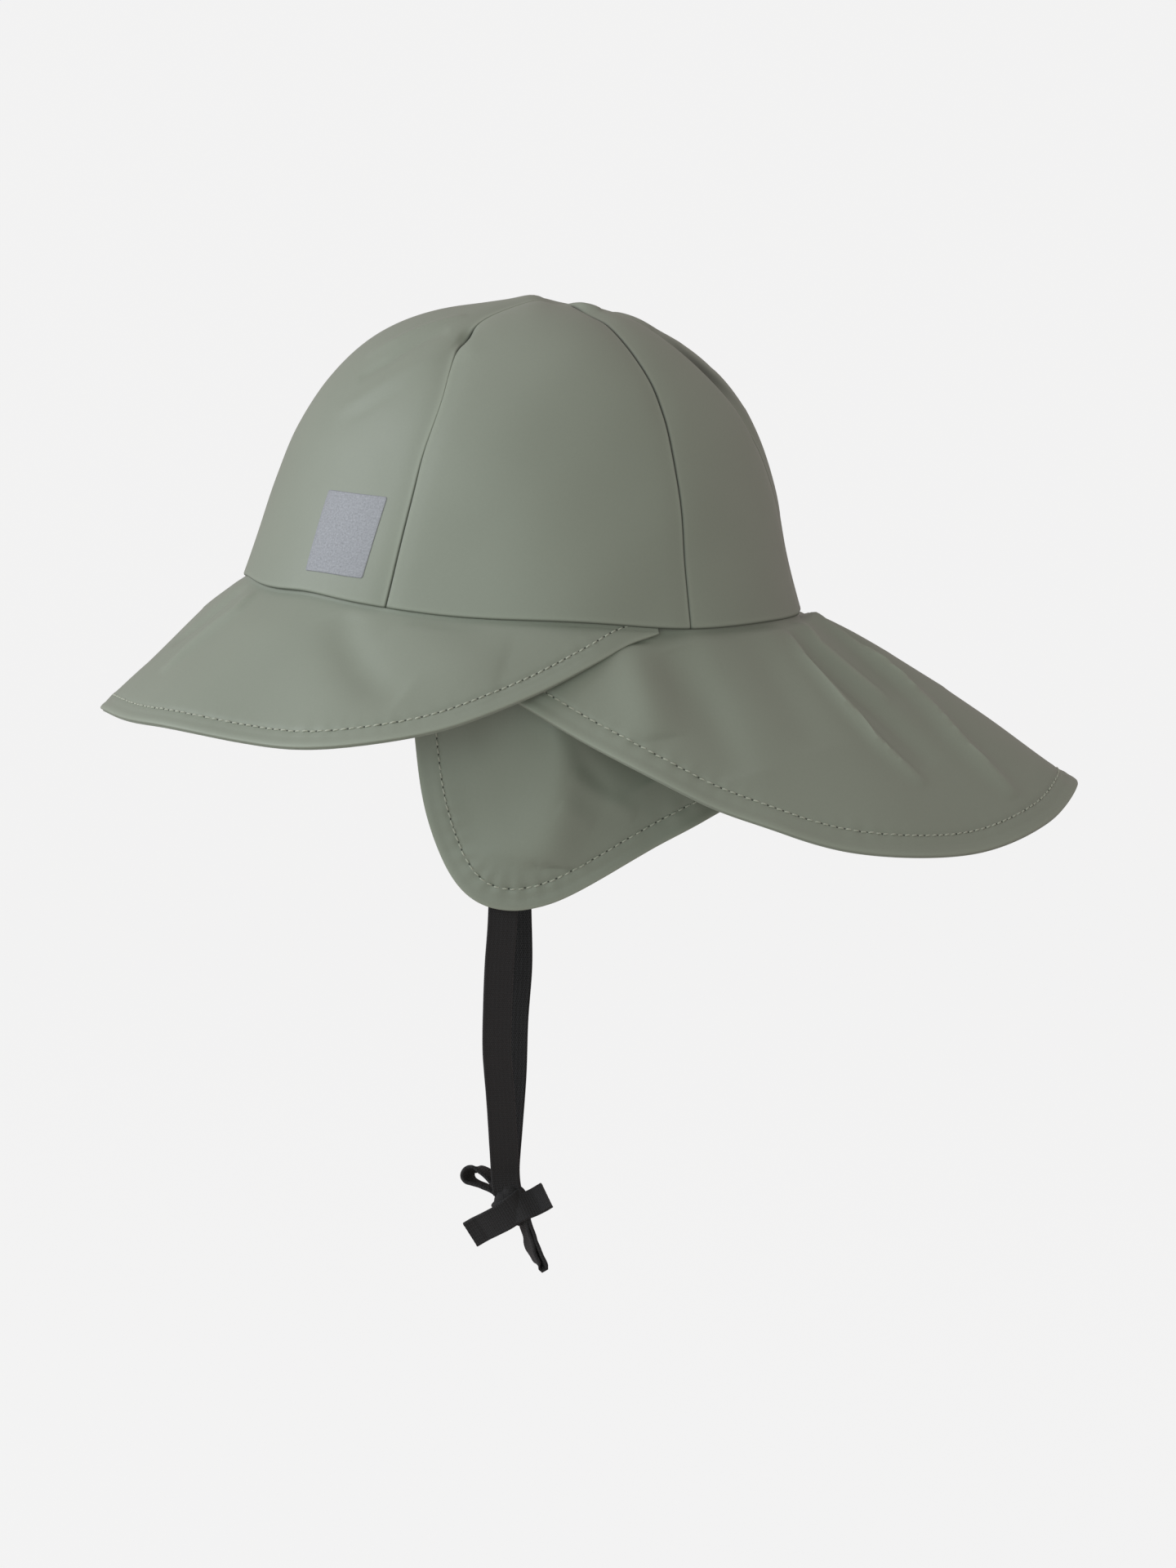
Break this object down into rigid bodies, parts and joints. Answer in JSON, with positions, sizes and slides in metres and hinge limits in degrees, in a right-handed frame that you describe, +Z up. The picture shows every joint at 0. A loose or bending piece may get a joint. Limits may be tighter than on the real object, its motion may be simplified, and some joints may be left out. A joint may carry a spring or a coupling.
{
  "type": "child's rain hat with neck flap, ear flaps and chin ties",
  "caption": "Rain hat of coated cloth with a paneled crown, a sloping peak, a long neck flap, inner ear flaps, a bare reflective patch and chin ties fastened in a bow.",
  "frame": {"origin": "middle of the head opening, level with the crown's lower edge, where the hat sits on a head", "axes": "+Z up along a wearer's head, -Y the way the wearer faces, +X the wearer's left"},
  "size_m": [0.2144, 0.3405, 0.3422],
  "materials": {
    "coated_cloth": "grey-green cloth with a semi-matt waterproof coating",
    "reflective_cloth": "silver-grey reflective cloth, fine grain",
    "black_tape": "matt black woven tape"
  },
  "bodies": {
    "root": {"crown_front": "coated_cloth", "crown_side_left": "coated_cloth", "crown_side_right": "coated_cloth", "crown_back_left": "coated_cloth", "crown_back_right": "coated_cloth", "peak": "coated_cloth", "neck_flap": "coated_cloth", "ear_flap_left": "coated_cloth", "ear_flap_right": "coated_cloth", "reflective_patch": "reflective_cloth", "tie_left": "black_tape", "tie_right": "black_tape", "bow_knot": "black_tape", "bow_loop_front": "black_tape", "bow_loop_rear": "black_tape", "tie_end_front": "black_tape", "tie_end_rear": "black_tape"}
  },
  "joints": []
}
